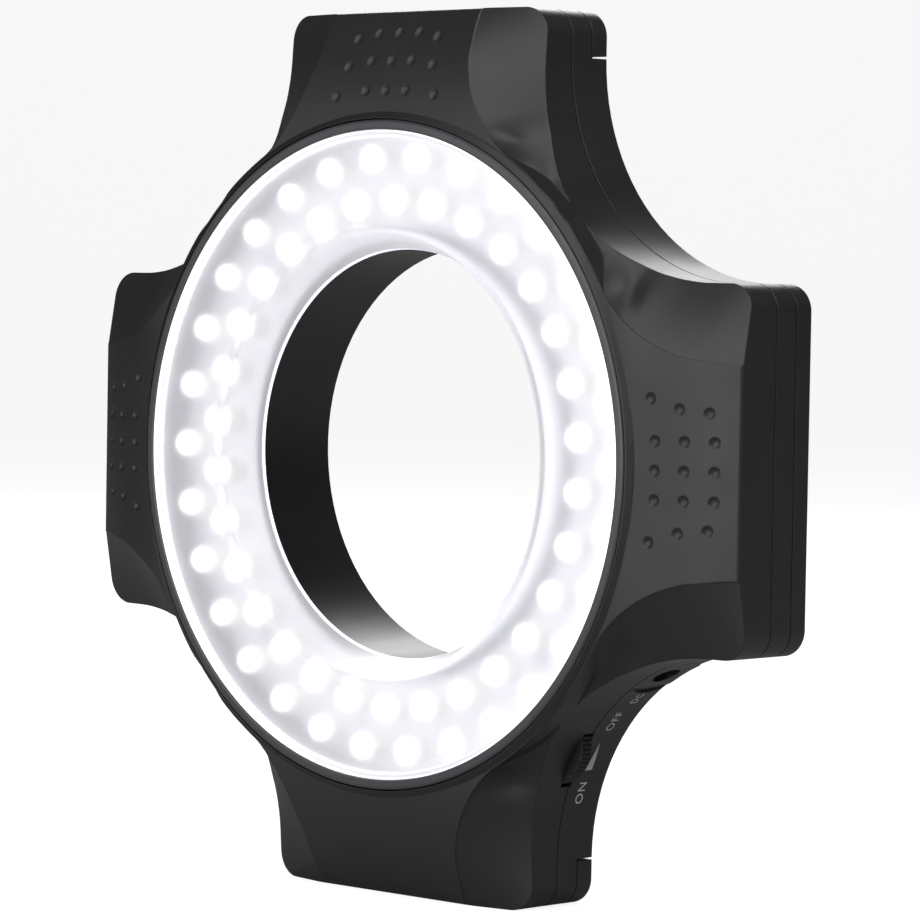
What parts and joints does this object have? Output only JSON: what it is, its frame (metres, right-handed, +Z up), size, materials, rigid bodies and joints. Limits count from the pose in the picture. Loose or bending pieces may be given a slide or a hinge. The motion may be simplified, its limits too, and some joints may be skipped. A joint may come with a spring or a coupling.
{
  "type": "led ring light",
  "caption": "Cross-shaped LED ring light for a camera lens: round translucent window in a black lobed housing, sliding battery doors, dimmer thumbwheel and power socket.",
  "frame": {"origin": "on the axis of the lens bore, in the plane of the rear face", "axes": "+Y along the bore axis towards the rear, so the lit front faces -Y; +Z up, towards the top lobe; +X to the right seen from the front"},
  "size_m": [0.17, 0.0277, 0.17],
  "materials": {
    "shell": "satin black, very fine texture",
    "bezel": "semi-gloss black",
    "window": "translucent, slightly frosted",
    "white_sheet": "matt white",
    "board": "white solder mask",
    "led": "clear lens",
    "ceramic": "small black chips",
    "cell": "plain sleeve",
    "nickel": "nickel plated",
    "lead": "insulated wire",
    "black_part": "moulded black",
    "can": "plain can",
    "wheel": "ribbed black",
    "steel": "zinc plated",
    "socket": "moulded black"
  },
  "bodies": {
    "root": {"front_shell": "shell", "rear_shell": "shell", "bezel_ring": "bezel", "diffuser": "window", "reflector_plate": "white_sheet", "led_board": "board", "led_outer_row": "led", "led_inner_row": "led", "led_resistors": "ceramic", "battery_cell_right": "cell", "battery_cell_top": "cell", "battery_cell_left": "cell", "battery_cell_bottom": "cell", "contact_plates": "nickel", "contact_springs": "nickel", "battery_leads": "lead", "driver_board": "board", "driver_chip": "black_part", "driver_capacitor": "can", "driver_inductor": "black_part", "board_link": "black_part", "dimmer_pot": "can", "dc_socket_body": "socket", "dc_socket_pin": "nickel", "dc_socket_leaf": "nickel", "case_screws": "steel", "board_screws": "steel", "driver_screws": "steel"},
    "dimmer": {"dimmer_wheel": "wheel", "dimmer_shaft": "steel"},
    "door_right": {"battery_door_right": "shell"},
    "door_top": {"battery_door_top": "shell"},
    "door_left": {"battery_door_left": "shell"},
    "door_bottom": {"battery_door_bottom": "shell"}
  },
  "joints": [
    {"name": "dimmer_turn", "type": "hinge", "parent": "root", "child": "dimmer", "pos_m": [0.0343, -0.0113, -0.05326], "axis": [0, -1, 0], "range_deg": [0, 270]},
    {"name": "door_right_slide", "type": "slide", "parent": "root", "child": "door_right", "axis": [1, 0, 0], "range_m": [0, 0.018]},
    {"name": "door_top_slide", "type": "slide", "parent": "root", "child": "door_top", "axis": [0, 0, 1], "range_m": [0, 0.018]},
    {"name": "door_left_slide", "type": "slide", "parent": "root", "child": "door_left", "axis": [-1, 0, 0], "range_m": [0, 0.018]},
    {"name": "door_bottom_slide", "type": "slide", "parent": "root", "child": "door_bottom", "axis": [0, 0, -1], "range_m": [0, 0.018]}
  ]
}
